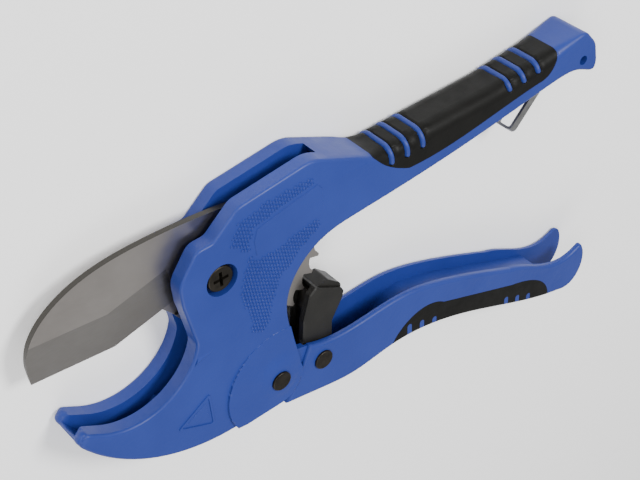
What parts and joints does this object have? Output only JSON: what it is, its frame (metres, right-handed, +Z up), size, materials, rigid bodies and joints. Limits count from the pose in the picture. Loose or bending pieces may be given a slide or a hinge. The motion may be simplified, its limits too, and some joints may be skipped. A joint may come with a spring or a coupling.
{
  "type": "pipe cutter",
  "caption": "Ratcheting hand cutter for plastic pipe, with a hooked jaw, a toothed swinging blade, two rubber-gripped handles and a folding bail latch.",
  "frame": {"origin": "centre of the box round the tool as it lies on its side, at its lowest plane", "axes": "+Z up out of the upper cheek, +X from the jaw to the handles' ends, +Y from the lower handle to the upper one"},
  "size_m": [0.2721, 0.1514, 0.0214],
  "materials": {
    "blue_paint": "satin blue paint on a die-cast body",
    "grip_rubber": "matt black moulded rubber",
    "blade_steel": "ground stainless steel",
    "dark_hardware": "black oxide steel",
    "zinc_steel": "plain steel",
    "spring_steel": "drawn spring wire",
    "strap_steel": "rolled steel strip",
    "black_plastic": "moulded black nylon"
  },
  "bodies": {
    "frame": {"body_casting": "blue_paint", "upper_grip": "grip_rubber", "pivot_screw": "dark_hardware", "pivot_nut": "zinc_steel", "pivot_bush": "zinc_steel", "upper_thrust_washer": "zinc_steel", "lower_thrust_washer": "zinc_steel", "blade_spring": "spring_steel", "handle_pin": "dark_hardware", "handle_spring": "spring_steel", "bail_pin": "zinc_steel", "bail_spacer": "zinc_steel"},
    "cutting_blade": {"blade": "blade_steel"},
    "squeeze_handle": {"lower_handle": "blue_paint", "lower_grip": "grip_rubber", "pawl_pin": "dark_hardware"},
    "pawl_lever": {"pawl": "dark_hardware", "pawl_housing": "black_plastic", "housing_pin": "zinc_steel", "pawl_spring": "spring_steel"},
    "latch": {"bail": "strap_steel"}
  },
  "joints": [
    {"name": "blade_turn", "type": "hinge", "parent": "frame", "child": "cutting_blade", "pos_m": [-0.0619, 0.0451, 0.0096], "axis": [0, 0, 1], "range_deg": [-16, 48]},
    {"name": "handle_squeeze", "type": "hinge", "parent": "frame", "child": "squeeze_handle", "pos_m": [-0.042, -0.0192, 0.0096], "axis": [0, 0, 1], "range_deg": [0, 32]},
    {"name": "pawl_swing", "type": "hinge", "parent": "squeeze_handle", "child": "pawl_lever", "pos_m": [-0.0197, -0.024, 0.0096], "axis": [0, 0, 1], "range_deg": [-44.8, 0]},
    {"name": "bail_swing", "type": "hinge", "parent": "frame", "child": "latch", "pos_m": [0.1071, 0.0513, 0.0096], "axis": [0, 0, 1], "range_deg": [-44, 76]}
  ],
  "couplings": [
    {"joint": "pawl_swing", "follows": "handle_squeeze", "ratio": -1.4}
  ]
}
